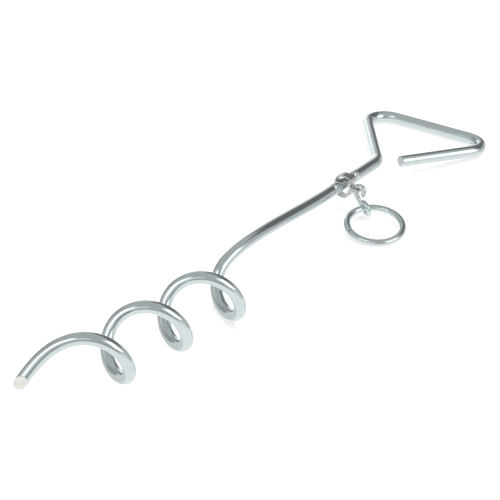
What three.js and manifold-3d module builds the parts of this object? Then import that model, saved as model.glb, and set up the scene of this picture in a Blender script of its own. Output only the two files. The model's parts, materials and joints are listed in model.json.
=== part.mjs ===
// A ground anchor: one steel rod bent into a screw, a straight shank and a triangular grip. A strap
// collar turns on the shank between two crimps, and carries a wire link and a pull ring.
//
// Millimetres, +Z up. The anchor lies on the ground, on its screw and on the two corners of its grip,
// with the shank along +X towards the grip. The origin is at the middle of the underside of its box.
//
// The pieces are first placed in the shank's own frame: +X runs along the shank towards the grip,
// +Y lies across the grip and +Z stands square to the grip. The whole is then tilted onto the ground.
import * as THREE from 'three';
import { mergeVertices } from 'three/addons/utils/BufferGeometryUtils.js';
import Module from 'manifold-3d';

const wasm = await Module();
wasm.setup();

// ---- Driving dimensions ----------------------------------------------------------------------------

const rodDiameter = 8;

// Grip: the bends are named by the corners where their straight runs would meet.
const neckCorner = 17;            // from the shank frame's origin to the first bend
const gripHeight = 83.3;          // from that bend to the grip bar
const gripWidth = 112.2;          // corner to corner along the grip bar
const gripShift = -1.6;           // how far the grip bar sits off the shank's line
const freeEnd = [26.9, -12.4];    // end of the free leg, beside the neck
const neckBend = 17.9;            // bend radii on the rod's centreline
const gripBend = 14.8;

// Screw: a right-hand helix whose axis lies beside the shank's line and leans from it.
const screwRadius = 17.2;
const screwPitch = 65.6;
const screwTurns = 2.716;
const screwEndPhase = 0.022;      // angle of the shank's end of the helix, from +Y towards +Z
const screwOffset = [-6.1, -11.2];
const screwLean = [0.0097, -0.0785];
const leadOut = 121.3;            // along the shank's line, from the helix to the straight shank
const pointLength = 55.2;         // the point unwinds over this length
const pointCurvature = 0.12;      // curvature and twist left at its very end, as shares of the helix
const pointTwist = 0.285;
const pointFacing = [-0.948, -0.214, -0.236]; // outward normal of the oblique cut at its end
const pullFromScrew = 0.169;      // handle lengths of the lead-out curve, as shares of its span
const pullFromShank = 0.433;

// Crimps: the rod is squeezed between punches, which leaves two flats and raises two ears.
const crimpMiddle = -34.4;        // half way between the two, on the shank
const crimpRoll = 0.25;           // turn of the flats about the shank
const crimpLength = 5.6;
const crimpSqueeze = 1.8;         // taken off the rod across the flats
const crimpEar = 1.6;             // each ear stands this proud of the rod
const shankPastCrimp = 6.1;       // straight shank beyond the crimp on the screw's side

// Collar: a strip bent round the shank, with its two ends laid together as a tab.
const stripWidth = 7;
const stripThickness = 1.2;
const collarPlay = 15.8;          // how far the collar can slide between the crimps
const collarBack = 0.5;           // room between the shank and the strip: behind it,
const collarFront = 1.8;          // in front of it, on the tab's side,
const collarTop = 2.4;            // above it
const collarBottom = 3.6;         // and below it
const collarBend = 3.2;
const collarRoll = 0.16;          // the tab droops this much below the level
const stripGap = 0.1;             // the two ends of the strip touch along the tab
const tabBend = 1.2;              // bend from the collar's front into the tab
const tabRoot = 0.1;              // from the collar's front to the hole
const holeClearance = 0.6;        // all round the link's wire in the tab's hole
const tabHoleWall = 1.4;          // strip left beyond the hole

// Link: one wire with an eye at each end, the two eyes square to each other.
const linkWire = 3.4;
const eyeClearance = 0.08;        // between the upper eye and the edge of the tab, at its closest
const linkStem = 12;              // straight run between the two eyes
const linkAzimuth = -99.3;        // the way the stem points, about the upright, from the shank, degrees
const linkDrop = 52.4;            // its fall below the level, degrees
const hookWrap = 264;             // how far the upper eye goes round before its end meets the stem
const eyeWrap = 276;              // the same for the lower eye

// Ring: a wire bent to a circle until its ends meet.
const ringWire = 4.5;
const ringMean = 38;
const ringClearance = 0.45;       // all round the ring's wire inside the link's lower eye
const ringAzimuth = -131.7;       // the way the ring lies away from the link, degrees
const ringJoint = 100;            // where its ends meet, round from the link, degrees
const ringJointGap = 0.5;

// Fineness of the curved surfaces.
const rodSides = 16;
const rodStep = 4.4;
const wireSides = 14;
const linkStep = 1.3;
const ringStep = 2.4;

// ---- Small helpers ---------------------------------------------------------------------------------

const vec = (x, y, z) => new THREE.Vector3(x, y, z);
const radians = THREE.MathUtils.degToRad;

/** Metal finishes, told apart by their colour and gloss. */
function metal(color, roughness) {
  return new THREE.MeshStandardMaterial({ color, roughness, metalness: 1 });
}

/** A curve through an even list of points, measured along its straight pieces. */
class PointCurve extends THREE.Curve {
  constructor(points) {
    super();
    this.points = points;
    this.along = [0];
    for (let i = 1; i < points.length; i += 1) {
      this.along.push(this.along[i - 1] + points[i].distanceTo(points[i - 1]));
    }
  }

  length() {
    return this.along[this.along.length - 1];
  }

  getPoint(share, target = vec(0, 0, 0)) {
    const distance = share * this.length();
    let i = 1;
    while (i < this.points.length - 1 && this.along[i] < distance) i += 1;
    const within = (distance - this.along[i - 1]) / (this.along[i] - this.along[i - 1]);
    return target.lerpVectors(this.points[i - 1], this.points[i], within);
  }
}

/** A round bar carried along a list of points, closed at both ends. */
function bar(points, diameter, sides, step) {
  const section = new THREE.Shape();
  for (let i = 0; i < sides; i += 1) {
    const turn = (2 * Math.PI * i) / sides;
    const x = (diameter / 2) * Math.cos(turn);
    const y = (diameter / 2) * Math.sin(turn);
    if (i === 0) section.moveTo(x, y);
    else section.lineTo(x, y);
  }
  section.closePath();
  const path = new PointCurve(points);
  path.arcLengthDivisions = 4 * points.length;
  const steps = Math.ceil(path.length() / step);
  return new THREE.ExtrudeGeometry(section, { steps, bevelEnabled: false, extrudePath: path });
}

/** A closed geometry as a solid for boolean work. */
function solid(geometry) {
  const bare = geometry.clone();
  bare.deleteAttribute('normal');
  bare.deleteAttribute('uv');
  const merged = mergeVertices(bare, 1e-4);
  return new wasm.Manifold(new wasm.Mesh({
    numProp: 3,
    vertProperties: Float32Array.from(merged.attributes.position.array),
    triVerts: Uint32Array.from(merged.index.array),
  }));
}

/** A solid as a geometry again. */
function geometryOf(body) {
  const mesh = body.getMesh();
  const geometry = new THREE.BufferGeometry();
  geometry.setAttribute('position', new THREE.BufferAttribute(mesh.vertProperties, 3));
  geometry.setIndex(new THREE.BufferAttribute(mesh.triVerts, 1));
  const flat = geometry.toNonIndexed();
  flat.computeVertexNormals();
  return flat;
}

/** Points on an arc about a centre, from one spoke towards a second one square to it. */
function arc(centre, spoke, square, radius, from, to, count) {
  const points = [];
  for (let i = 0; i <= count; i += 1) {
    const turn = from + ((to - from) * i) / count;
    points.push(centre.clone()
      .addScaledVector(spoke, radius * Math.cos(turn))
      .addScaledVector(square, radius * Math.sin(turn)));
  }
  return points;
}

/** The points of a run with rounded corners: straight between them, an arc of its own radius at each. */
function roundedRun(corners, radii, count) {
  const points = [corners[0]];
  for (let i = 1; i < corners.length - 1; i += 1) {
    const back = corners[i - 1].clone().sub(corners[i]).normalize();
    const ahead = corners[i + 1].clone().sub(corners[i]).normalize();
    const half = back.angleTo(ahead) / 2;
    const radius = radii[i - 1];
    const bisector = back.clone().add(ahead).normalize();
    const centre = corners[i].clone().addScaledVector(bisector, radius / Math.sin(half));
    const start = corners[i].clone().addScaledVector(back, radius / Math.tan(half));
    const spoke = start.clone().sub(centre).normalize();
    const sweep = Math.PI - 2 * half;
    points.push(...arc(centre, spoke, back.negate(), radius, 0, sweep, count));
  }
  points.push(corners[corners.length - 1]);
  return points;
}

// ---- Centreline of the rod -------------------------------------------------------------------------

const crimpSpacing = stripWidth + collarPlay + crimpLength;
const shankStart = crimpMiddle - crimpSpacing / 2 - crimpLength / 2 - shankPastCrimp;
const screwLength = screwTurns * screwPitch;
const screwStart = shankStart - leadOut - screwLength;
const screwPhase = screwEndPhase - 2 * Math.PI * screwTurns;

/** A point on the helix, a share of the way from the pointed end to the shank's end. */
function onScrew(share) {
  const x = screwStart + share * screwLength;
  const fromMiddle = (share - 0.5) * screwLength;
  const turn = screwPhase + 2 * Math.PI * screwTurns * share;
  return vec(
    x,
    screwOffset[0] + screwLean[0] * fromMiddle + screwRadius * Math.cos(turn),
    screwOffset[1] + screwLean[1] * fromMiddle + screwRadius * Math.sin(turn),
  );
}

function screwPoints() {
  const count = Math.round(screwTurns * 40);
  return Array.from({ length: count + 1 }, (_, i) => onScrew(i / count));
}

/** The point: it carries on from the helix while its curvature and twist fade in even steps. */
function pointPoints() {
  const rise = screwPitch / (2 * Math.PI);
  const square = screwRadius ** 2 + rise ** 2;
  const along = onScrew(0).sub(onScrew(1e-3)).normalize();
  const inward = vec(0, -Math.cos(screwPhase), -Math.sin(screwPhase));
  inward.addScaledVector(along, -inward.dot(along)).normalize();
  const side = along.clone().cross(inward);
  const here = onScrew(0);
  const count = 24;
  const step = pointLength / count;
  const points = [];
  for (let i = 0; i < count; i += 1) {
    const faded = (i + 0.5) / count;
    const bend = (screwRadius / square) * (1 - faded + pointCurvature * faded) * step;
    const twist = (rise / square) * (1 - faded + pointTwist * faded) * step;
    const middle = along.clone().addScaledVector(inward, bend / 2).normalize();
    here.addScaledVector(middle, step);
    points.unshift(here.clone());
    const turned = inward.clone().addScaledVector(along, -bend).addScaledVector(side, twist);
    along.addScaledVector(inward, bend).normalize();
    inward.copy(turned).addScaledVector(along, -turned.dot(along)).normalize();
    side.crossVectors(along, inward);
  }
  return points;
}

/** The curve from the end of the helix to the start of the straight shank. */
function leadOutPoints() {
  const start = onScrew(1);
  const end = vec(shankStart, 0, 0);
  const span = start.distanceTo(end);
  const away = onScrew(1).sub(onScrew(1 - 1e-3)).normalize();
  const curve = new THREE.CubicBezierCurve3(
    start,
    start.clone().addScaledVector(away, span * pullFromScrew),
    end.clone().addScaledVector(vec(-1, 0, 0), span * pullFromShank),
    end,
  );
  return curve.getPoints(40).slice(1);
}

const gripBarX = neckCorner + gripHeight;

/** The shank and the triangular grip, up to the free end. */
function gripPoints() {
  return roundedRun(
    [
      vec(shankStart, 0, 0),
      vec(neckCorner, 0, 0),
      vec(gripBarX, gripShift + gripWidth / 2, 0),
      vec(gripBarX, gripShift - gripWidth / 2, 0),
      vec(freeEnd[0], freeEnd[1], 0),
    ],
    [neckBend, gripBend, gripBend],
    12,
  ).slice(1);
}

const screwRun = screwPoints();
const rodRun = [...pointPoints(), ...screwRun, ...leadOutPoints(), ...gripPoints()];

// ---- How it lies -----------------------------------------------------------------------------------

/** Height of a point over the ground's direction, when the shank is tilted by an angle. */
const heightAt = (point, tilt) => point.z * Math.cos(tilt) - point.x * Math.sin(tilt);

/** The tilt at which the screw and the grip bar touch the ground together. */
function restingTilt() {
  let low = 0;
  let high = 0.5;
  for (let i = 0; i < 50; i += 1) {
    const tilt = (low + high) / 2;
    const screwHeight = Math.min(...screwRun.map((point) => heightAt(point, tilt)));
    const gripBarHeight = heightAt(vec(gripBarX, 0, 0), tilt);
    if (gripBarHeight > screwHeight) low = tilt;
    else high = tilt;
  }
  return (low + high) / 2;
}

const tilt = restingTilt();
const ground = heightAt(vec(gripBarX, 0, 0), tilt) - rodDiameter / 2;
const upright = vec(-Math.sin(tilt), 0, Math.cos(tilt));
const level = vec(Math.cos(tilt), 0, Math.sin(tilt));
const across = vec(0, 1, 0);

/** A level direction, by its angle from the level line along the shank. */
function compass(degrees) {
  return level.clone().multiplyScalar(Math.cos(radians(degrees)))
    .addScaledVector(across, Math.sin(radians(degrees)));
}

// ---- Rod -------------------------------------------------------------------------------------------

/** Presses one crimp: two flats are cut and a rounded ear is raised on each side. */
function crimped(rod, x) {
  const place = new THREE.Matrix4().makeRotationX(crimpRoll).setPosition(x, 0, 0);
  const ears = new THREE.SphereGeometry(1, 14, 10);
  ears.rotateX(Math.PI / 2);
  ears.scale(crimpLength / 2, (rodDiameter - crimpSqueeze) / 2, rodDiameter / 2 + crimpEar);
  ears.applyMatrix4(place);
  let body = rod.add(solid(ears));
  for (const side of [1, -1]) {
    const punch = new THREE.CylinderGeometry(crimpLength / 2, crimpLength / 2, rodDiameter, 20);
    punch.translate(0, side * (rodDiameter - crimpSqueeze / 2), 0);
    punch.applyMatrix4(place);
    body = body.subtract(solid(punch));
  }
  return body;
}

/** The block that is cut away beyond the point: its near face passes through the end of the run. */
function pointOffcut() {
  const size = 4 * rodDiameter;
  const facing = vec(...pointFacing).normalize();
  const block = new THREE.BoxGeometry(size, size, size);
  block.translate(0, 0, size / 2);
  block.applyQuaternion(new THREE.Quaternion().setFromUnitVectors(vec(0, 0, 1), facing));
  return block.translate(...rodRun[0].toArray());
}

function stakeRod() {
  const onward = rodRun[0].clone().sub(rodRun[1]).normalize();
  const beyond = rodRun[0].clone().addScaledVector(onward, rodDiameter);
  let rod = solid(bar([beyond, ...rodRun], rodDiameter, rodSides, rodStep));
  rod = rod.subtract(solid(pointOffcut()));
  for (const side of [1, -1]) rod = crimped(rod, crimpMiddle + (side * crimpSpacing) / 2);
  const mesh = new THREE.Mesh(geometryOf(rod), metal(0xc9cfd0, 0.16));
  mesh.name = 'stake_rod';
  return mesh;
}

// ---- Collar ----------------------------------------------------------------------------------------

const tabHole = linkWire + 2 * holeClearance;
const frontFace = rodDiameter / 2 + collarFront + stripThickness;
const tabHoleReach = frontFace + tabRoot + tabHole / 2;
const tabReach = tabHoleReach + tabHole / 2 + tabHoleWall;

/** The strip's outline, looking along the shank: its middle line thickened, ends together on the tab. */
function stripOutline(offset) {
  const backY = (rodDiameter + stripThickness) / 2 + collarBack;
  const frontY = stripThickness / 2 - frontFace;
  const topZ = (rodDiameter + stripThickness) / 2 + collarTop;
  const bottomZ = -(rodDiameter + stripThickness) / 2 - collarBottom;
  const tabZ = (stripThickness + stripGap) / 2;
  const bend = collarBend + offset;
  const tuck = tabBend - offset;
  return roundedRun(
    [
      vec(-tabReach, tabZ + offset, 0),
      vec(frontY - offset, tabZ + offset, 0),
      vec(frontY - offset, topZ + offset, 0),
      vec(backY + offset, topZ + offset, 0),
      vec(backY + offset, bottomZ - offset, 0),
      vec(frontY - offset, bottomZ - offset, 0),
      vec(frontY - offset, -tabZ - offset, 0),
      vec(-tabReach, -tabZ - offset, 0),
    ],
    [tuck, bend, backY, backY, bend, tuck],
    5,
  );
}

/** The collar, made in its own frame: +X along the shank, the tab towards -Y. */
function swivelStrap() {
  const outer = stripOutline(stripThickness / 2);
  const inner = stripOutline(-stripThickness / 2).reverse();
  const outline = new THREE.Shape([...outer, ...inner].map((p) => new THREE.Vector2(p.x, p.y)));
  const strip = new THREE.ExtrudeGeometry(outline, { depth: stripWidth, bevelEnabled: false });
  strip.translate(0, 0, -stripWidth / 2);
  // The outline's plane becomes the plane square to the shank.
  strip.applyMatrix4(new THREE.Matrix4().makeBasis(across, vec(0, 0, 1), vec(1, 0, 0)));
  const drill = new THREE.CylinderGeometry(tabHole / 2, tabHole / 2, 6 * stripThickness, 24);
  drill.rotateX(Math.PI / 2);
  drill.translate(0, -tabHoleReach, 0);
  const mesh = new THREE.Mesh(geometryOf(solid(strip).subtract(solid(drill))), metal(0xcac8c2, 0.28));
  mesh.name = 'swivel_strap';
  return mesh;
}

// ---- Link ------------------------------------------------------------------------------------------

// The upper eye goes through the middle of the tab's hole and round the edge beyond it, clear of the
// corners that the two thicknesses of strip make at the hole's rim.
const halfTab = stripThickness + stripGap / 2;
const upperEyeBore = (holeClearance ** 2 - eyeClearance ** 2 + halfTab ** 2)
  / (holeClearance - eyeClearance);
const upperEyeMean = (upperEyeBore + linkWire) / 2;
const lowerEyeMean = (ringWire + linkWire) / 2 + ringClearance;

const collarAxis = vec(crimpMiddle, 0, 0);
const tabOut = vec(0, -Math.cos(collarRoll), -Math.sin(collarRoll));
const upperEye = collarAxis.clone().addScaledVector(tabOut, tabHoleReach + upperEyeMean);

const linkWay = compass(linkAzimuth).multiplyScalar(Math.cos(radians(linkDrop)))
  .addScaledVector(upright, -Math.sin(radians(linkDrop)));
const ringAlong = compass(ringAzimuth + 90);

// The stem runs into both eyes along their edge: towards the shank in one, under the ring in the other.
const hookOut = tabOut.clone().addScaledVector(linkWay, -tabOut.dot(linkWay)).normalize();
const ringSide = linkWay.clone().cross(ringAlong).normalize();
const lowerEye = upperEye.clone()
  .addScaledVector(hookOut, -upperEyeMean)
  .addScaledVector(linkWay, linkStem)
  .addScaledVector(ringSide, lowerEyeMean);

// ---- Ring ------------------------------------------------------------------------------------------

// The link's lower eye holds up one side of the ring, and the far side touches the ground.
const ringFall = Math.asin((lowerEye.dot(upright) - ground - ringWire / 2) / ringMean);
const ringAway = compass(ringAzimuth).multiplyScalar(Math.cos(ringFall))
  .addScaledVector(upright, -Math.sin(ringFall));
const ringCentre = lowerEye.clone().addScaledVector(ringAway, ringMean / 2);

function pullRing() {
  const from = radians(ringJoint) + ringJointGap / ringMean;
  const to = from + 2 * Math.PI - (2 * ringJointGap) / ringMean;
  const circle = arc(vec(0, 0, 0), vec(1, 0, 0), vec(0, 1, 0), ringMean / 2, from, to, 96);
  const mesh = new THREE.Mesh(bar(circle, ringWire, wireSides, ringStep), metal(0xc4cac8, 0.14));
  mesh.name = 'pull_ring';
  mesh.applyMatrix4(new THREE.Matrix4()
    .makeBasis(ringAway.clone().negate(), ringAlong.clone().negate(), vec(0, 0, 0)
      .crossVectors(ringAway, ringAlong))
    .setPosition(ringCentre));
  return mesh;
}

/** The link: over one eye, down the stem and round the other eye, as one bent wire. */
function swivelLink() {
  const upperLoop = arc(upperEye, hookOut.clone().negate(), linkWay.clone().negate(), upperEyeMean,
    radians(hookWrap), 0, 26);
  const lowerLoop = arc(lowerEye, ringSide.clone().negate(), linkWay, lowerEyeMean,
    0, radians(eyeWrap), 30);
  const mesh = new THREE.Mesh(bar([...upperLoop, ...lowerLoop], linkWire, wireSides, linkStep),
    metal(0xc2c8ca, 0.2));
  mesh.name = 'swivel_link';
  return mesh;
}

// ---- Assembly --------------------------------------------------------------------------------------

const stake = new THREE.Group();
stake.add(stakeRod());

const collar = new THREE.Group();
collar.name = 'collar_frame';
collar.position.copy(collarAxis);
collar.rotation.x = collarRoll;
collar.add(swivelStrap());
stake.add(collar, swivelLink(), pullRing());

const lying = new THREE.Group();
lying.add(stake);
stake.rotation.y = tilt;
lying.updateMatrixWorld(true);
const box = new THREE.Box3().setFromObject(lying, true);
stake.position.set(-(box.min.x + box.max.x) / 2, -(box.min.y + box.max.y) / 2, -box.min.z);

export default lying;
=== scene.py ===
"""A screw-in ground stake lying on a pale floor: one bent rod with a swivelling collar, link and ring."""
import json
import math
import bpy
import numpy as np
from mathutils import Matrix, Vector


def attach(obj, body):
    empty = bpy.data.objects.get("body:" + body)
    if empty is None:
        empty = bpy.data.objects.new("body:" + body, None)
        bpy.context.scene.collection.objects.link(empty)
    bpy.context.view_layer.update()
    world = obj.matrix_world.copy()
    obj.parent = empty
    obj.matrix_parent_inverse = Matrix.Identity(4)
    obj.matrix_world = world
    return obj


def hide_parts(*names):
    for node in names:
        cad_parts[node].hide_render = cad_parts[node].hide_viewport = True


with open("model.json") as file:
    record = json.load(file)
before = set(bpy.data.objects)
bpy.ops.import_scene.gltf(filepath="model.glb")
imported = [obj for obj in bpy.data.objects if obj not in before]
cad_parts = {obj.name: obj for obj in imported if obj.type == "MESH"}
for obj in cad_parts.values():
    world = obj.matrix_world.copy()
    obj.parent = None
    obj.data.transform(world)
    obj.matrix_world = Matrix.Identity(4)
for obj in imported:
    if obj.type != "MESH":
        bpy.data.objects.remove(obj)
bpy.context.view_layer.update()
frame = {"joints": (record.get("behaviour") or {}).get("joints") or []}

MM = 0.001
WORLD_UP = np.array([0.0, 0.0, 1.0])
ACROSS = np.array([0.0, 1.0, 0.0])

# ---- Sizes, in millimetres and radians ---------------------------------------------------------------

ROD = 8.0
NECK_CORNER = 17.0
GRIP_HEIGHT = 83.3
GRIP_WIDTH = 112.2
GRIP_SHIFT = -1.6
FREE_END = (26.9, -12.4)
NECK_BEND = 17.9
GRIP_BEND = 14.8

SCREW_RADIUS = 17.2
SCREW_PITCH = 65.6
SCREW_TURNS = 2.716
SCREW_END_PHASE = 0.022
SCREW_OFFSET = (-6.1, -11.2)
SCREW_LEAN = (0.0097, -0.0785)
LEAD_OUT = 121.3
POINT_LENGTH = 55.2
POINT_CURVATURE = 0.12
POINT_TWIST = 0.285
POINT_FACING = (-0.948, -0.214, -0.236)
POINT_SHEAR = 15.0           # the oblique cut's slant dies out over this much rod
PULL_FROM_SCREW = 0.169
PULL_FROM_SHANK = 0.433

CRIMP_MIDDLE = -34.4
CRIMP_ROLL = 0.25
CRIMP_LENGTH = 5.6
CRIMP_SQUEEZE = 1.8
CRIMP_EAR = 1.6
EAR_SPREAD = 0.42            # the ears' bulge along the shank, as a share of the crimp's length
PUNCH_SQUASH = 0.94          # the round punch mark is a little longer across the shank than along it
PUNCH_WALL = 1.6             # the mark's wall rises this much for each millimetre outward
PUNCH_SOFTNESS = 0.12        # rounding where the flat meets the bar
SHANK_PAST_CRIMP = 6.1

STRIP_WIDTH = 7.0
STRIP_THICKNESS = 1.2
STRIP_EDGE = 0.38            # rounding of the strip's long edges
STRIP_END_THINNING = 0.35    # the sheared ends' edges are broken by this share of the thickness
STRIP_END_REACH = 0.12       # and the break dies out over about this far
COLLAR_PLAY = 15.8
COLLAR_BACK = 0.5
COLLAR_FRONT = 1.8
COLLAR_TOP = 2.4
COLLAR_BOTTOM = 3.6
COLLAR_BEND = 3.2
COLLAR_ROLL = 0.16
STRIP_GAP = 0.1
TAB_BEND = 1.2
TAB_ROOT = 0.1
TAB_CORNER = 1.5             # the tab's two corners are rounded off
HOLE_CLEARANCE = 0.6
TAB_HOLE_WALL = 1.4
HOLE_FLARE = 0.3             # rounding of the hole's two mouths

LINK_WIRE = 3.4
LINK_AZIMUTH = math.radians(-99.3)
LINK_DROP = math.radians(52.4)
EYE_CLEARANCE = 0.08
HOOK_WRAP = math.radians(264)
EYE_WRAP = math.radians(276)

RING_WIRE = 4.5
RING_MEAN = 38.0
RING_CLEARANCE = 0.45
RING_JOINT = math.radians(100)
RING_JOINT_GAP = 0.3         # the ring's two ends, measured along the wire from the middle of the gap
RING_JOINT_STEP = 0.35       # one end sits this much to the side of the other
RING_JOINT_SHARPNESS = 9     # power of the sideways set: high keeps it close to the joint
POINT_EDGE = 0.35            # rounding of the rod's two ends and of the wires' ends
FREE_EDGE = 1.1
LINK_EDGES = (0.55, 0.45)
RING_EDGES = (0.5, 0.5)

# ---- Fineness: sides round each bar, and spacing along it in millimetres ---------------------------------

ROD_SIDES = 64
ROD_STEP = 1.0
CRIMP_STEP = 0.22
CRIMP_MARGIN = 6.0           # the fine rows run this far past the crimps' middles
WIRE_SIDES = 48
WIRE_STEP = 0.22
RING_SIDES = 56
RING_POINTS = 600
STRIP_STEP = 0.3
EYE_POINTS = 90
BEND_POINTS = 24
STRIP_BEND_POINTS = 18
SCREW_POINTS = 420
LEAD_OUT_POINTS = 120
POINT_STEPS = 24
NUDGE = 1e-3                 # a share of the helix short enough to give its direction
POINT_FINENESS = 6           # curve points for each step of the point
FACE_ROWS = 7                # rows of points from an end face's middle to its edge, and over the edge
POINT_CUT_ROWS = 9           # rows of faces, from the point's middle, that the cut's finish covers
SQUARE_CUT_ROWS = 8          # the same at the free end

# ---- Places, from the frame --------------------------------------------------------------------------

JOINTS = {joint["name"]: joint for joint in frame["joints"]}


def place_of(joint):
    """A joint's point, in millimetres."""
    return np.array(JOINTS[joint]["pos_m"]) / MM


def way_of(joint):
    """A joint's axis, as a unit vector."""
    axis = np.array(JOINTS[joint]["axis"], float)
    return axis / np.linalg.norm(axis)


SHANK_WAY = way_of("collar_turn")
SHANK_UP = np.cross(SHANK_WAY, ACROSS)
SHANK_FRAME = np.stack([SHANK_WAY, ACROSS, SHANK_UP])
SHANK_ORIGIN = place_of("collar_turn") - CRIMP_MIDDLE * SHANK_WAY


def from_shank(points):
    """Points from the shank's own frame to the part's frame."""
    return SHANK_ORIGIN + points @ SHANK_FRAME


def unit(vector):
    return vector / np.linalg.norm(vector)


# ---- Curves ------------------------------------------------------------------------------------------


def arc(centre, spoke, square, radius, start, stop, count):
    """An arc: centre + radius x (spoke x cos(turn) + square x sin(turn)), for evenly spaced turns."""
    turn = np.linspace(start, stop, count)[:, None]
    return centre + radius * (spoke * np.cos(turn) + square * np.sin(turn))


def rounded_run(corners, radii, count=BEND_POINTS):
    """Straight runs between corners, with an arc of its own radius at each inner corner."""
    corners = [np.array(corner, float) for corner in corners]
    runs = [corners[0][None]]
    for before, corner, after, radius in zip(corners, corners[1:], corners[2:], radii):
        back, ahead = unit(before - corner), unit(after - corner)
        half = math.acos(np.clip(back @ ahead, -1, 1)) / 2
        centre = corner + unit(back + ahead) * radius / math.sin(half)
        spoke = unit(corner + back * radius / math.tan(half) - centre)
        runs.append(arc(centre, spoke, -back, radius, 0, math.pi - 2 * half, count))
    runs.append(corners[-1][None])
    return np.concatenate(runs)


def resampled(points, stations):
    """The points at given distances along a run, by straight-line interpolation."""
    along = np.r_[0, np.cumsum(np.linalg.norm(np.diff(points, axis=0), axis=1))]
    return np.stack([np.interp(stations, along, points[:, axis]) for axis in range(3)], 1)


def run_length(points):
    return float(np.linalg.norm(np.diff(points, axis=0), axis=1).sum())


def evenly(points, step):
    """Stations a step apart along a run, from one end to the other."""
    length = run_length(points)
    return np.linspace(0, length, int(math.ceil(length / step)) + 1)


def carried_frames(points, first):
    """Tangents, and a side vector carried along a run so that it never spins about the tangent."""
    tangent = np.gradient(points, axis=0)
    tangent /= np.linalg.norm(tangent, axis=1)[:, None]
    side = np.empty_like(points)
    current = np.array(first, float)
    for i, way in enumerate(tangent):
        current = unit(current - way * (current @ way))
        side[i] = current
    return tangent, side, np.cross(tangent, side)


# ---- The rod's centreline ----------------------------------------------------------------------------

CRIMP_SPACING = STRIP_WIDTH + COLLAR_PLAY + CRIMP_LENGTH
SHANK_START = CRIMP_MIDDLE - CRIMP_SPACING / 2 - CRIMP_LENGTH / 2 - SHANK_PAST_CRIMP
SCREW_LENGTH = SCREW_TURNS * SCREW_PITCH
SCREW_START = SHANK_START - LEAD_OUT - SCREW_LENGTH
SCREW_RISE = SCREW_PITCH / (2 * math.pi)


def on_screw(share):
    """The helix: steady advance along x, with y and z turning about an axis that leans a little."""
    share = np.atleast_1d(np.asarray(share, float))
    from_middle = (share - 0.5) * SCREW_LENGTH
    turn = SCREW_END_PHASE - 2 * math.pi * SCREW_TURNS * (1 - share)
    y = SCREW_OFFSET[0] + SCREW_LEAN[0] * from_middle + SCREW_RADIUS * np.cos(turn)
    z = SCREW_OFFSET[1] + SCREW_LEAN[1] * from_middle + SCREW_RADIUS * np.sin(turn)
    return np.stack([SCREW_START + share * SCREW_LENGTH, y, z], 1)


def point_run():
    """The point: from the helix's first end, curvature and twist fade in equal steps to the cut."""
    square = SCREW_RADIUS**2 + SCREW_RISE**2
    here = on_screw(0)[0]
    along = unit(here - on_screw(NUDGE)[0])
    phase = SCREW_END_PHASE - 2 * math.pi * SCREW_TURNS
    inward = np.array([0, -math.cos(phase), -math.sin(phase)])
    inward = unit(inward - along * (inward @ along))
    step = POINT_LENGTH / POINT_STEPS
    points = []
    for i in range(POINT_STEPS):
        faded = (i + 0.5) / POINT_STEPS
        bend = SCREW_RADIUS / square * (1 - faded + POINT_CURVATURE * faded) * step
        twist = SCREW_RISE / square * (1 - faded + POINT_TWIST * faded) * step
        here = here + unit(along + inward * bend / 2) * step
        points.append(here)
        turned = inward - along * bend + np.cross(along, inward) * twist
        along = unit(along + inward * bend)
        inward = unit(turned - along * (turned @ along))
    return np.array(points[::-1])


def lead_out_run():
    """The cubic curve from the helix's last point to the start of the straight shank."""
    start, end = on_screw(1)[0], np.array([SHANK_START, 0, 0])
    span = np.linalg.norm(end - start)
    away = unit(start - on_screw(1 - NUDGE)[0])
    one = start + away * span * PULL_FROM_SCREW
    two = end - np.array([1, 0, 0]) * span * PULL_FROM_SHANK
    t = np.linspace(0, 1, LEAD_OUT_POINTS)[1:, None]
    return (1 - t)**3 * start + 3 * t * (1 - t)**2 * one + 3 * t**2 * (1 - t) * two + t**3 * end


def grip_run():
    """The shank, the neck and the three sides of the grip, to the free end beside the neck."""
    bar = NECK_CORNER + GRIP_HEIGHT
    corners = [
        (SHANK_START, 0, 0),
        (NECK_CORNER, 0, 0),
        (bar, GRIP_SHIFT + GRIP_WIDTH / 2, 0),
        (bar, GRIP_SHIFT - GRIP_WIDTH / 2, 0),
        (*FREE_END, 0),
    ]
    return rounded_run(corners, [NECK_BEND, GRIP_BEND, GRIP_BEND])[1:]


def smoothed(points, count):
    """A run through sparse points, made round by a Catmull-Rom curve: each span blends four points."""
    ends = [2 * points[0] - points[1], 2 * points[-1] - points[-2]]
    p = np.concatenate([ends[0][None], points, ends[1][None]])
    t = np.linspace(0, 1, count, endpoint=False)[None, :, None]
    a, b, c, d = (p[i:len(p) - 3 + i, None] for i in range(4))
    curve = 0.5 * (2 * b + (c - a) * t + (2 * a - 5 * b + 4 * c - d) * t**2
                   + (3 * b - a - 3 * c + d) * t**3)
    return np.concatenate([curve.reshape(-1, 3), points[-1:]])


# ---- Surfaces ----------------------------------------------------------------------------------------


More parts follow.
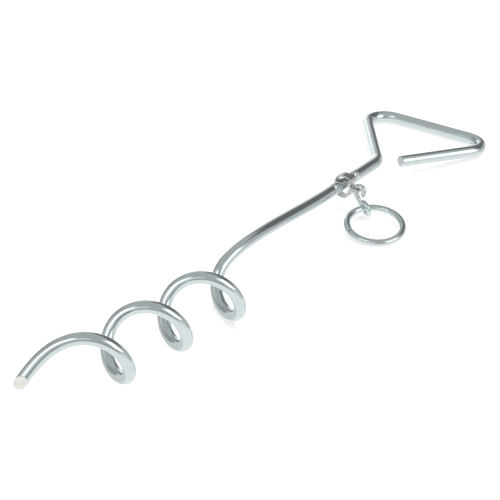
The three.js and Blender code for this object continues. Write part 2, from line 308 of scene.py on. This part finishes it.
def mesh_piece(name, grid, wrap, uv, finishes, finish_rows=None):
    """A mesh from a grid of points, rows by columns; the rows wrap round, and the two ends are closed.

    grid is in millimetres. uv gives each grid point's place on the surface, in metres along and
    around. finishes are materials, and finish_rows says which one each row of faces takes.
    """
    rows, columns = grid.shape[:2]
    index = np.arange(rows * columns).reshape(rows, columns)
    after = np.roll(index, -1, axis=1)
    faces = np.stack([index[:-1], after[:-1], after[1:], index[1:]], -1).reshape(-1, 4)
    mesh = bpy.data.meshes.new(name)
    starts, last = grid[0].mean(0), grid[-1].mean(0)
    points = np.concatenate([grid.reshape(-1, 3), starts[None], last[None]]) * MM
    first_fan = np.stack([after[0], index[0], np.full(columns, rows * columns)], -1)
    last_fan = np.stack([index[-1], after[-1], np.full(columns, rows * columns + 1)], -1)
    loops = np.concatenate([faces.ravel(), first_fan.ravel(), last_fan.ravel()])
    totals = np.concatenate([np.full(len(faces), 4), np.full(2 * columns, 3)])
    mesh.vertices.add(len(points))
    mesh.vertices.foreach_set("co", points.ravel())
    mesh.loops.add(len(loops))
    mesh.loops.foreach_set("vertex_index", loops)
    mesh.polygons.add(len(totals))
    mesh.polygons.foreach_set("loop_start", np.r_[0, np.cumsum(totals)[:-1]])
    mesh.update(calc_edges=True)
    u, v = uv[..., 0], uv[..., 1]
    v_after = np.roll(v, -1, axis=1)
    v_after[:, -1] += wrap
    u_after = np.roll(u, -1, axis=1)
    corner_u = np.stack([u[:-1], u_after[:-1], u_after[1:], u[1:]], -1).reshape(-1)
    corner_v = np.stack([v[:-1], v_after[:-1], v_after[1:], v[1:]], -1).reshape(-1)
    fan_u = [np.stack([u_after[0], u[0], u[0]], -1), np.stack([u[-1], u_after[-1], u[-1]], -1)]
    fan_v = [np.stack([v_after[0], v[0], v[0]], -1), np.stack([v[-1], v_after[-1], v[-1]], -1)]
    corners = np.stack([
        np.concatenate([corner_u, *(part.ravel() for part in fan_u)]),
        np.concatenate([corner_v, *(part.ravel() for part in fan_v)]),
    ], -1)
    mesh.uv_layers.new(name="along_round").data.foreach_set("uv", corners.ravel())
    mesh.polygons.foreach_set("use_smooth", np.ones(len(totals), bool))
    if finish_rows is not None:
        face_finish = np.repeat(finish_rows, columns)
        ends = np.concatenate([np.full(columns, finish_rows[0]), np.full(columns, finish_rows[-1])])
        mesh.polygons.foreach_set("material_index", np.concatenate([face_finish, ends]))
    for finish in finishes:
        mesh.materials.append(finish)
    mesh.validate()
    piece = bpy.data.objects.new(name, mesh)
    bpy.context.scene.collection.objects.link(piece)
    return piece


def end_profile(radius, edge):
    """From the face's middle out and over a rounded edge: radii and setbacks, middle first."""
    innermost = 0.12
    flat = np.linspace(innermost, 1, FACE_ROWS)[:-1] * (radius - edge)
    turn = np.linspace(0, math.pi / 2, FACE_ROWS)
    rounded = radius - edge + edge * np.sin(turn)
    return np.r_[flat, rounded], np.r_[np.zeros(len(flat)), edge * (1 - np.cos(turn))]


def wire(points, diameter, sides, edges, first=(0, 0, 1), slants=(None, None), slant_run=1.0):
    """A round bar along a run, as rows of rings with a flat, round-edged face at each end.

    Each ring is centre + radius x (side x cos(turn) + cross x sin(turn)). At an oblique end the rings
    are shifted along the bar by their distance to the slanted plane, less and less over slant_run.
    Returns the grid of points, the distance along for each row, and the turns.
    """
    radius = diameter / 2
    tangent, side, cross = carried_frames(points, first)
    along = np.r_[0, np.cumsum(np.linalg.norm(np.diff(points, axis=0), axis=1))]
    turn = np.linspace(0, 2 * math.pi, sides, endpoint=False)
    head_r, head_back = end_profile(radius, edges[0])
    tail_r, tail_back = end_profile(radius, edges[1])
    clear = 1.05
    inner = (along > edges[0] * clear) & (along < along[-1] - edges[1] * clear)
    middle = np.nonzero(inner)[0]
    pick = np.r_[np.zeros(len(head_r), int), middle, np.full(len(tail_r), len(points) - 1)]
    radii = np.r_[head_r, np.full(len(middle), radius), tail_r[::-1]]
    push = np.r_[head_back, np.zeros(len(middle)), -tail_back[::-1]]
    spokes = (side[pick, None] * np.cos(turn)[None, :, None]
              + cross[pick, None] * np.sin(turn)[None, :, None])
    grid = points[pick, None] + radii[:, None, None] * spokes
    grid = grid + (push[:, None] * tangent[pick])[:, None]
    distance = along[pick] + push
    for slant, end in zip(slants, (0, -1)):
        if slant is None:
            continue
        normal = unit(np.array(slant))
        way = tangent[end]
        from_end = np.abs(distance - along[end])
        weight = np.clip(1 - from_end / slant_run, 0, 1)**2
        shift = -((radii[:, None, None] * spokes) @ normal) / (way @ normal)
        grid = grid + (shift * weight[:, None])[..., None] * tangent[pick][:, None]
    return grid, distance, turn


def wire_uv(distance, turn, diameter):
    """Metres along the bar and metres round it, for each grid point."""
    round_it = turn * diameter / 2 * MM
    return np.stack(np.broadcast_arrays(distance[:, None] * MM, round_it[None]), -1)


# ---- Shader maths ------------------------------------------------------------------------------------


class Value:
    """A number that varies over a surface. Arithmetic on it adds Math nodes to its node tree."""

    def __init__(self, tree, socket):
        self.tree = tree
        self.socket = socket

    def _with(self, operation, first, second=None):
        inputs = [first] if second is None else [first, second]
        return Value(self.tree, add_node(self.tree, "ShaderNodeMath", {"operation": operation}, inputs))

    def __add__(self, other):
        return self._with("ADD", self, other)

    __radd__ = __add__

    def __sub__(self, other):
        return self._with("SUBTRACT", self, other)

    def __rsub__(self, other):
        return self._with("SUBTRACT", other, self)

    def __mul__(self, other):
        return self._with("MULTIPLY", self, other)

    __rmul__ = __mul__

    def __truediv__(self, other):
        return self._with("DIVIDE", self, other)

    def cosine(self):
        return self._with("COSINE", self)

    def sine(self):
        return self._with("SINE", self)

    def root(self):
        return self._with("POWER", self, 0.5)

    def angle_above(self, level):
        """The angle, in radians, whose tangent is this value over level."""
        return self._with("ARCTAN2", self, level)

    def step(self, low, high):
        """0 below low, 1 above high and smooth between."""
        settings = {"interpolation_type": "SMOOTHSTEP"}
        inputs = {"Value": self, "From Min": low, "From Max": high}
        return Value(self.tree, add_node(self.tree, "ShaderNodeMapRange", settings, inputs))


def add_node(tree, kind, settings=None, inputs=None, output=0):
    """Any node: its settings first, then its sockets' values or links. Returns one of its outputs."""
    node = tree.nodes.new(kind)
    for name, setting in (settings or {}).items():
        setattr(node, name, setting)
    pairs = inputs.items() if isinstance(inputs, dict) else enumerate(inputs or [])
    for name, given in pairs:
        given = given.socket if isinstance(given, Value) else given
        if isinstance(given, bpy.types.NodeSocket):
            tree.links.new(given, node.inputs[name])
        else:
            node.inputs[name].default_value = given
    return node.outputs[output] if node.outputs else node


def noise(tree, vector, scale, detail, roughness):
    """Noise from about 0 to 1 at a given scale."""
    inputs = {"Vector": vector, "Scale": scale, "Detail": detail, "Roughness": roughness}
    return Value(tree, add_node(tree, "ShaderNodeTexNoise", {}, inputs, "Fac"))


def clouded(tree, cloud, shade, light, low, high):
    """Two colours mixed by a noise: shade where it is below low, light where it is above high."""
    inputs = {0: cloud.step(low, high), 6: shade, 7: light}
    return add_node(tree, "ShaderNodeMix", {"data_type": "RGBA"}, inputs, 2)


def on_object(tree):
    """A place in the piece's own space."""
    return add_node(tree, "ShaderNodeTexCoord", {}, [], "Object")


# ---- Finishes ----------------------------------------------------------------------------------------


DIE_LINE_LENGTH = 60.0       # how many times longer than wide the drawn bar's lines are
ROLLING_LINE_LENGTH = 30.0   # the same for the rolled strip's


def bar_place(tree, radius, stretch):
    """A seamless place on a bar: (cos, sin) of the turn x radius, and the distance along / stretch."""
    uv = add_node(tree, "ShaderNodeUVMap", {"uv_map": "along_round"})
    split = tree.nodes.new("ShaderNodeSeparateXYZ")
    tree.links.new(uv, split.inputs[0])
    turn = Value(tree, split.outputs[1]) / radius
    x = turn.cosine() * radius
    y = turn.sine() * radius
    z = Value(tree, split.outputs[0]) / stretch
    return add_node(tree, "ShaderNodeCombineXYZ", {}, [x, y, z])


def new_finish(name):
    """An empty metal finish: its node tree and its shader."""
    finish = bpy.data.materials.new(name)
    finish.use_nodes = True
    shader = finish.node_tree.nodes["Principled BSDF"]
    shader.inputs["Metallic"].default_value = 1.0
    return finish, finish.node_tree, shader


def feed(tree, shader, socket, value):
    tree.links.new(value.socket if isinstance(value, Value) else value, shader.inputs[socket])


def bumped(tree, shader, height, distance):
    """The shader's surface raised by height x distance, in metres."""
    inputs = {"Height": height, "Distance": distance, "Strength": 1.0}
    feed(tree, shader, "Normal", add_node(tree, "ShaderNodeBump", {}, inputs))


def plated_bar(name, radius_mm, light, shade, gloss, waviness):
    """Bright zinc plating on drawn round bar: die lines along it, a slow waver and faint clouding."""
    finish, tree, shader = new_finish(name)
    radius = radius_mm * MM
    lines = noise(tree, bar_place(tree, radius, DIE_LINE_LENGTH), scale=2600.0, detail=3.0, roughness=0.6)
    place = on_object(tree)
    waver = noise(tree, place, scale=45.0, detail=1.0, roughness=0.4)
    cloud = noise(tree, place, scale=160.0, detail=4.0, roughness=0.6)
    specks = noise(tree, place, scale=2400.0, detail=2.0, roughness=0.5)
    feed(tree, shader, "Base Color", clouded(tree, cloud, shade, light, 0.3, 0.75))
    feed(tree, shader, "Roughness", gloss + 0.05 * lines + 0.05 * cloud.step(0.45, 0.8)
         + 0.05 * specks.step(0.6, 0.8))
    bumped(tree, shader, waviness * waver + 0.01 * lines + 0.006 * specks, 1.0 * MM)
    return finish


def plated_strip(name, light, shade):
    """Satin zinc plating on rolled strip: fine rolling lines along its run and a cloudy, warm grey."""
    finish, tree, shader = new_finish(name)
    uv = add_node(tree, "ShaderNodeUVMap", {"uv_map": "along_round"})
    stretched = add_node(tree, "ShaderNodeVectorMath", {"operation": "MULTIPLY"},
                         [uv, (1.0, ROLLING_LINE_LENGTH, 1.0)], "Vector")
    lines = noise(tree, stretched, scale=300.0, detail=3.0, roughness=0.6)
    place = on_object(tree)
    cloud = noise(tree, place, scale=300.0, detail=4.0, roughness=0.6)
    feed(tree, shader, "Base Color", clouded(tree, cloud, shade, light, 0.3, 0.75))
    feed(tree, shader, "Roughness", 0.2 + 0.08 * lines + 0.08 * cloud)
    bumped(tree, shader, 0.02 * lines + 0.03 * cloud, 1.0 * MM)
    return finish


def sheared_face(name, light, shade, roughness):
    """A sheared end: matt, cream and grey, with torn grain across it."""
    finish, tree, shader = new_finish(name)
    shader.inputs["Metallic"].default_value = 0.25
    place = on_object(tree)
    grain = noise(tree, place, scale=900.0, detail=5.0, roughness=0.65)
    cloud = noise(tree, place, scale=260.0, detail=3.0, roughness=0.5)
    feed(tree, shader, "Base Color", clouded(tree, cloud, shade, light, 0.35, 0.7))
    feed(tree, shader, "Roughness", roughness + 0.15 * grain)
    bumped(tree, shader, 0.12 * grain + 0.1 * cloud, 1.0 * MM)
    return finish


BRIGHT = (0.705, 0.79, 0.80, 1)
BRIGHT_SHADE = (0.67, 0.745, 0.75, 1)
ROD_PLATING = plated_bar("rod_plating", ROD / 2, BRIGHT, BRIGHT_SHADE, 0.03, 0.10)
WIRE_PLATING = plated_bar("wire_plating", LINK_WIRE / 2, BRIGHT, BRIGHT_SHADE, 0.07, 0.06)
RING_PLATING = plated_bar("ring_plating", RING_WIRE / 2, BRIGHT, BRIGHT_SHADE, 0.05, 0.06)
STRAP_PLATING = plated_strip("strap_plating", (0.76, 0.755, 0.735, 1), (0.68, 0.67, 0.65, 1))
POINT_CUT = sheared_face("point_cut", (0.86, 0.85, 0.79, 1), (0.74, 0.74, 0.68, 1), 0.45)
SQUARE_CUT = sheared_face("square_cut", (0.66, 0.71, 0.74, 1), (0.55, 0.60, 0.63, 1), 0.35)

# ---- Rod ---------------------------------------------------------------------------------------------


def crimped(points):
    """Two crimps pressed into the shank, in the shank's frame.

    Across the flats each point is held to half the squeezed thickness inside a round punch mark,
    whose wall rises steeply; along the ears each point is pushed out by a bell-shaped bulge.
    """
    out = points.copy()
    cos, sin = math.cos(CRIMP_ROLL), math.sin(CRIMP_ROLL)
    for side in (-1, 1):
        place = CRIMP_MIDDLE + side * CRIMP_SPACING / 2
        x = out[..., 0] - place
        on_bar = np.hypot(out[..., 1], out[..., 2]) < 1.05 * ROD / 2
        near = on_bar & (np.abs(x) < 2 * CRIMP_LENGTH)
        y = out[..., 1] * cos + out[..., 2] * sin
        z = out[..., 2] * cos - out[..., 1] * sin
        bell = np.exp(-(x / (EAR_SPREAD * CRIMP_LENGTH))**4)
        height = np.clip(np.abs(z) / (ROD / 2), 0, 1)
        bulged = z * (1 + bell * height**3 * CRIMP_EAR / (ROD / 2))
        past_punch = np.clip(np.hypot(x, z * PUNCH_SQUASH) - CRIMP_LENGTH / 2, 0, None)
        held = (ROD - CRIMP_SQUEEZE) / 2 + PUNCH_WALL * past_punch
        excess = PUNCH_SOFTNESS * np.logaddexp(0, (np.abs(y) - held) / PUNCH_SOFTNESS)
        pressed = np.sign(y) * (np.abs(y) - excess)
        new_y, new_z = np.where(near, pressed, y), np.where(near, bulged, z)
        out[..., 1] = new_y * cos - new_z * sin
        out[..., 2] = new_z * cos + new_y * sin
    return out


def stake_rod():
    """The rod: helix, point, lead-out, shank and grip as one round bar, then crimped and placed."""
    sparse = np.concatenate([point_run(), on_screw([0, 0.02])])
    point = smoothed(sparse, POINT_FINENESS)[:-POINT_FINENESS - 1]
    screw = on_screw(np.linspace(0, 1, SCREW_POINTS))
    run = np.concatenate([point, screw, lead_out_run(), grip_run()])
    length = run_length(run)
    along = np.r_[0, np.cumsum(np.linalg.norm(np.diff(run, axis=0), axis=1))]
    on_shank = float(along[np.argmin(np.linalg.norm(run - [SHANK_START, 0, 0], axis=1))])
    crimps = on_shank - SHANK_START + CRIMP_MIDDLE
    coarse = np.arange(0, length, ROD_STEP)
    reach = CRIMP_SPACING / 2 + CRIMP_MARGIN
    fine = np.arange(crimps - reach, crimps + reach, CRIMP_STEP)
    outside = (coarse < fine[0] - ROD_STEP / 2) | (coarse > fine[-1] + ROD_STEP / 2)
    stations = np.sort(np.r_[coarse[outside], fine, length])
    centre = resampled(run, stations)
    grid, distance, turn = wire(centre, ROD, ROD_SIDES, (POINT_EDGE, FREE_EDGE),
                                slants=(POINT_FACING, None), slant_run=POINT_SHEAR)
    grid = from_shank(crimped(grid))
    rows = len(grid) - 1
    which = np.zeros(rows, int)
    which[:POINT_CUT_ROWS] = 1
    which[-SQUARE_CUT_ROWS:] = 2
    piece = mesh_piece("bent_rod", grid, math.pi * ROD * MM, wire_uv(distance, turn, ROD),
                       [ROD_PLATING, POINT_CUT, SQUARE_CUT], which)
    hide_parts("stake_rod")
    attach(piece, "root")


# ---- Collar ------------------------------------------------------------------------------------------

TAB_HOLE = LINK_WIRE + 2 * HOLE_CLEARANCE
FRONT_FACE = ROD / 2 + COLLAR_FRONT + STRIP_THICKNESS
TAB_HOLE_REACH = FRONT_FACE + TAB_ROOT + TAB_HOLE / 2
TAB_REACH = TAB_HOLE_REACH + TAB_HOLE / 2 + TAB_HOLE_WALL


def strip_run():
    """The strip's middle line in the collar's frame: out of the tab, over the shank and back again."""
    half = STRIP_THICKNESS / 2
    back, front = ROD / 2 + half + COLLAR_BACK, half - FRONT_FACE
    top, bottom = ROD / 2 + half + COLLAR_TOP, -(ROD / 2 + half + COLLAR_BOTTOM)
    leaf = half + STRIP_GAP / 2
    corners = [(0, -TAB_REACH, leaf), (0, front, leaf), (0, front, top), (0, back, top),
               (0, back, bottom), (0, front, bottom), (0, front, -leaf), (0, -TAB_REACH, -leaf)]
    bends = [TAB_BEND, COLLAR_BEND, back, back, COLLAR_BEND, TAB_BEND]
    return rounded_run(corners, bends, STRIP_BEND_POINTS)


def from_collar(points):
    """Points from the collar's frame, +x along the shank and the tab towards -y, to the part's."""
    cos, sin = math.cos(COLLAR_ROLL), math.sin(COLLAR_ROLL)
    x, y, z = points[..., 0] + CRIMP_MIDDLE, points[..., 1], points[..., 2]
    return from_shank(np.stack([x, y * cos - z * sin, z * cos + y * sin], -1))


def rolled_edge(half_width, half_thickness, edge, count):
    """A flat section with round edges, as (across, through) points once round."""
    corner = np.linspace(0, math.pi / 2, count)
    quarter = np.stack([half_width - edge + edge * np.cos(corner),
                        half_thickness - edge + edge * np.sin(corner)], -1)
    flat = np.linspace(1, -1, 16)[1:-1, None] * [half_width - edge, 0] + [0, half_thickness]
    upper = np.concatenate([quarter, flat, quarter[::-1] * [-1, 1]])
    return np.concatenate([upper, -upper])


def swivel_strap():
    """The strip carried round its run, its corners rounded at the tab, with one hole drilled through."""
    run = strip_run()
    stations = evenly(run, STRIP_STEP)
    near_end = np.array([0.02, 0.06, 0.12, 0.2])
    stations = np.sort(np.r_[stations, near_end, stations[-1] - near_end])
    centre = resampled(run, stations)
    tangent = np.gradient(centre, stations, axis=0)
    tangent /= np.linalg.norm(tangent, axis=1)[:, None]
    through = np.cross([1.0, 0, 0], tangent)
    from_end = np.minimum(stations, stations[-1] - stations)
    into_corner = np.clip(TAB_CORNER - from_end, 0, None)
    drop = TAB_CORNER - np.sqrt(np.clip(TAB_CORNER**2 - into_corner**2, 0, None))
    section = rolled_edge(STRIP_WIDTH / 2, STRIP_THICKNESS / 2, STRIP_EDGE, 6)
    narrowed = 1 - drop / (STRIP_WIDTH / 2)
    edge_round = 1 - STRIP_END_THINNING * np.exp(-(from_end / STRIP_END_REACH))
    across = section[None, :, 0] * narrowed[:, None]
    depth = section[None, :, 1] * edge_round[:, None]
    grid = (centre[:, None] + across[..., None] * np.array([1.0, 0, 0])
            + depth[..., None] * through[:, None])
    round_it = np.r_[0, np.cumsum(np.linalg.norm(np.diff(section, axis=0), axis=1))] * MM
    uv = np.stack(np.broadcast_arrays(stations[:, None] * MM, round_it[None]), -1)
    piece = mesh_piece("strap_collar", from_collar(grid), round_it[-1], uv, [STRAP_PLATING])
    drill_hole(piece)
    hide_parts("swivel_strap")
    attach(piece, "collar")


def drill_hole(piece):
    """Cuts the tab's hole: a drill whose radius flares at both mouths, which leaves rounded rims."""
    half = STRIP_THICKNESS + STRIP_GAP / 2
    turn = np.linspace(0, math.pi / 2, 6)
    upper = np.stack([half - HOLE_FLARE + HOLE_FLARE * np.sin(turn),
                      TAB_HOLE / 2 + HOLE_FLARE * (1 - np.cos(turn))], -1)
    profile = np.concatenate([-upper[::-1] * [1, -1], upper])
    profile = np.concatenate([[[-2 * half, profile[0, 1]]], profile, [[2 * half, profile[-1, 1]]]])
    around = np.linspace(0, 2 * math.pi, 48, endpoint=False)
    x = profile[:, 1, None] * np.cos(around)
    y = -TAB_HOLE_REACH + profile[:, 1, None] * np.sin(around)
    z = np.broadcast_to(profile[:, 0, None], x.shape)
    grid = from_collar(np.stack([x, y, z], -1))
    uv = np.zeros((*x.shape, 2))
    drill = mesh_piece("drill", grid, 0.0, uv, [STRAP_PLATING])
    cut = piece.modifiers.new("hole", "BOOLEAN")
    cut.operation = "DIFFERENCE"
    cut.solver = "EXACT"
    cut.object = drill
    apply_modifiers(piece)
    bpy.data.objects.remove(drill)


def apply_modifiers(piece):
    """Replaces a piece's mesh by what its modifiers make of it."""
    graph = bpy.context.evaluated_depsgraph_get()
    made = bpy.data.meshes.new_from_object(piece.evaluated_get(graph))
    piece.modifiers.clear()
    piece.data = made


# ---- Link --------------------------------------------------------------------------------------------

HALF_TAB = STRIP_THICKNESS + STRIP_GAP / 2
UPPER_BORE = (HOLE_CLEARANCE**2 - EYE_CLEARANCE**2 + HALF_TAB**2) / (HOLE_CLEARANCE - EYE_CLEARANCE)
UPPER_EYE_MEAN = (UPPER_BORE + LINK_WIRE) / 2
LOWER_EYE_MEAN = (RING_WIRE + LINK_WIRE) / 2 + RING_CLEARANCE
UPPER_EYE = place_of("link_swing")
LOWER_EYE = place_of("ring_swing")
RING_ALONG = way_of("ring_swing")
LINK_WAY = np.array([
    math.cos(LINK_DROP) * math.cos(LINK_AZIMUTH),
    math.cos(LINK_DROP) * math.sin(LINK_AZIMUTH),
    -math.sin(LINK_DROP),
])
HOOK_OUT = unit(np.cross(LINK_WAY, way_of("link_swing")))
RING_SIDE = unit(np.cross(LINK_WAY, RING_ALONG))


def swivel_link():
    """The link: round the upper eye, down the stem and round the lower eye, as one bent wire."""
    upper = arc(UPPER_EYE, -HOOK_OUT, -LINK_WAY, UPPER_EYE_MEAN, HOOK_WRAP, 0, EYE_POINTS)
    lower = arc(LOWER_EYE, -RING_SIDE, LINK_WAY, LOWER_EYE_MEAN, 0, EYE_WRAP, EYE_POINTS)
    run = np.concatenate([upper, lower])
    centre = resampled(run, evenly(run, WIRE_STEP))
    grid, distance, turn = wire(centre, LINK_WIRE, WIRE_SIDES, LINK_EDGES, first=(0.3, 1, 0.2))
    piece = mesh_piece("wire_link", grid, math.pi * LINK_WIRE * MM,
                       wire_uv(distance, turn, LINK_WIRE), [WIRE_PLATING])
    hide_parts("swivel_link")
    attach(piece, "link")


# ---- Ring --------------------------------------------------------------------------------------------

RING_FALL = math.asin((LOWER_EYE[2] - RING_WIRE / 2) / RING_MEAN)
RING_LEVEL = np.array([RING_ALONG[1], -RING_ALONG[0], 0.0])
RING_AWAY = math.cos(RING_FALL) * RING_LEVEL - math.sin(RING_FALL) * WORLD_UP
RING_CENTRE = LOWER_EYE + RING_AWAY * RING_MEAN / 2


def pull_ring():
    """The ring: a wire bent round until its ends meet, one end a little to the side of the other."""
    gap = RING_JOINT_GAP / (RING_MEAN / 2)
    start, stop = RING_JOINT + gap, RING_JOINT + 2 * math.pi - gap
    circle = arc(RING_CENTRE, -RING_AWAY, -RING_ALONG, RING_MEAN / 2, start, stop, RING_POINTS)
    normal = unit(np.cross(RING_AWAY, RING_ALONG))
    share = np.linspace(-1, 1, len(circle))[:, None]
    circle = circle + normal * RING_JOINT_STEP / 2 * share**RING_JOINT_SHARPNESS
    grid, distance, turn = wire(circle, RING_WIRE, RING_SIDES, RING_EDGES, first=normal)
    piece = mesh_piece("round_ring", grid, math.pi * RING_WIRE * MM,
                       wire_uv(distance, turn, RING_WIRE), [RING_PLATING])
    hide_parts("pull_ring")
    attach(piece, "ring")


# ---- Studio ------------------------------------------------------------------------------------------


DEGREES = 180 / math.pi
CEILING = 0.50               # brightness overhead and wherever no screen or opening is
FAR_FLOOR = 0.82             # brightness that the metal sees below the horizon
NEAR_FLOOR = 0.98
BACKDROP = 0.95
HORIZON = (-3, 5)            # degrees below level over which the surroundings turn into the floor
NEAR = (10, 30)              # and over which the far floor turns into the near floor
FLOOR_SIDE = 8.0             # half the floor's width, in metres
FLOOR_WHITE = 0.55
FLOOR_GLOW = 0.55            # the floor glows a little, so that shadows are faint
# Each screen or opening: its middle's azimuth from +x, its half width, its lowest and highest
# elevation and the softness of its edge, all in degrees, and its brightness. Later ones cover earlier.
SCREENS = [
    (-12, 34, 13, 48, 4, 0.17),
    (11, 11, -14, 14, 4, 0.20),
    (-34, 29, -18, 11, 6, 0.56),
    (34, 9, -2, 16, 4, 0.80),
    (47, 10, -36, 15, 4, 1.25),
    (84, 24, -4, 42, 6, 0.38),
    (130, 9, 26, 42, 4, 0.80),
    (175, 20, 31, 48, 3, 1.90),
    (-155, 10, 19, 31, 3, 1.10),
    (155, 14, -12, 12, 4, 0.95),
    (-86, 24, 5, 46, 3, 1.50),
    (-145, 14, 2, 17, 5, 0.52),
    (-129, 24, -14, 4, 4, 0.36),
    (78, 22, -58, -8, 8, 0.72),
    (-20, 22, -42, -22, 6, 0.82),
]

CAMERA_LENS = 173.6          # millimetres, on a 36 mm sensor
CAMERA_PLACE = (-1180.6, -664.8, 816.75)
CAMERA_FORWARD = (0.747102, 0.43066, -0.506331)
CAMERA_UP = (0.42977, 0.268143, 0.862205)


def pale_floor():
    """A wide, flat, matt white sheet under the stake."""
    far = FLOOR_SIDE
    mesh = bpy.data.meshes.new("floor")
    corners = [(-far, -far, 0), (far, -far, 0), (far, far, 0), (-far, far, 0)]
    mesh.from_pydata(corners, [], [(0, 1, 2, 3)])
    floor = bpy.data.objects.new("floor", mesh)
    bpy.context.scene.collection.objects.link(floor)
    finish = bpy.data.materials.new("floor_sheet")
    finish.use_nodes = True
    shader = finish.node_tree.nodes["Principled BSDF"]
    shader.inputs["Base Color"].default_value = (FLOOR_WHITE, FLOOR_WHITE, FLOOR_WHITE, 1)
    shader.inputs["Roughness"].default_value = 0.9
    shader.inputs["Specular IOR Level"].default_value = 0.0
    shader.inputs["Emission Color"].default_value = (1.0, 1.0, 1.0, 1)
    shader.inputs["Emission Strength"].default_value = FLOOR_GLOW
    floor.visible_glossy = False
    mesh.materials.append(finish)


def soft_light(name, azimuth, elevation, distance, size, power, seen_in_metal):
    """A square soft light, aimed at the stake from a direction given in degrees."""
    lamp = bpy.data.lights.new(name, "AREA")
    lamp.shape = "SQUARE"
    lamp.size = size
    lamp.energy = power
    light = bpy.data.objects.new(name, lamp)
    a, e = math.radians(azimuth), math.radians(elevation)
    back = Vector((math.cos(e) * math.cos(a), math.cos(e) * math.sin(a), math.sin(e)))
    light.location = back * distance
    light.rotation_mode = "QUATERNION"
    light.rotation_quaternion = back.to_track_quat("Z", "Y")
    light.visible_glossy = seen_in_metal
    light.visible_camera = False
    bpy.context.scene.collection.objects.link(light)


def studio_walls():
    """The room that the metal reflects: a grey ceiling, pale screens, dark openings and the floor.

    Every screen covers what is behind it by its share: inside its width, above its low edge and
    below its high edge, each with a smooth border.
    """
    world = bpy.data.worlds.new("studio")
    world.use_nodes = True
    tree = world.node_tree
    tree.nodes.clear()
    place = add_node(tree, "ShaderNodeTexCoord", {}, [], "Generated")
    split = tree.nodes.new("ShaderNodeSeparateXYZ")
    tree.links.new(place, split.inputs[0])
    x, y, z = (Value(tree, output) for output in split.outputs)
    level = (x * x + y * y).root()
    height = z.angle_above(level) * DEGREES
    bright = Value(tree, add_node(tree, "ShaderNodeValue"))
    bright.socket.default_value = CEILING
    depth = -1 * height
    far, near = depth.step(*HORIZON), depth.step(*NEAR)
    bright = bright * (1 - far) + FAR_FLOOR * far
    bright = bright * (1 - near) + NEAR_FLOOR * near
    for azimuth, half_width, low, high, soft, brightness in SCREENS:
        a = math.radians(azimuth)
        toward = (x * math.cos(a) + y * math.sin(a)) / level
        edge = math.cos(math.radians(half_width))
        blur = math.sin(math.radians(half_width)) * math.radians(soft)
        inside = (toward.step(edge - blur, edge + blur) * height.step(low - soft, low + soft)
                  * (1 - height.step(high - soft, high + soft)))
        bright = bright * (1 - inside) + brightness * inside
    seen = Value(tree, add_node(tree, "ShaderNodeLightPath", {}, [], "Is Camera Ray"))
    bright = bright * (1 - seen) + BACKDROP * seen
    light = {"Color": (1.0, 1.0, 1.0, 1), "Strength": bright}
    background = add_node(tree, "ShaderNodeBackground", {}, light)
    add_node(tree, "ShaderNodeOutputWorld", {}, {"Surface": background})
    bpy.context.scene.world = world


def viewing_camera():
    """The camera: well back, above the stake and to its point's side, through a long lens."""
    data = bpy.data.cameras.new("camera")
    data.sensor_width = 36.0
    data.lens = CAMERA_LENS
    data.clip_start, data.clip_end = 0.05, 50.0
    camera = bpy.data.objects.new("camera", data)
    camera.location = [value * MM for value in CAMERA_PLACE]
    forward = unit(np.array(CAMERA_FORWARD))
    right = unit(np.cross(forward, CAMERA_UP))
    columns = np.stack([right, np.cross(right, forward), -forward], 1)
    camera.rotation_mode = "QUATERNION"
    camera.rotation_quaternion = Matrix(columns.tolist()).to_quaternion()
    bpy.context.scene.collection.objects.link(camera)
    bpy.context.scene.camera = camera


# ---- Everything in its place -------------------------------------------------------------------------

stake_rod()
swivel_strap()
swivel_link()
pull_ring()
pale_floor()
studio_walls()
soft_light("overhead_light", -60, 80, 3.0, 3.5, 100.0, False)
viewing_camera()
bpy.context.scene.view_settings.view_transform = "Standard"
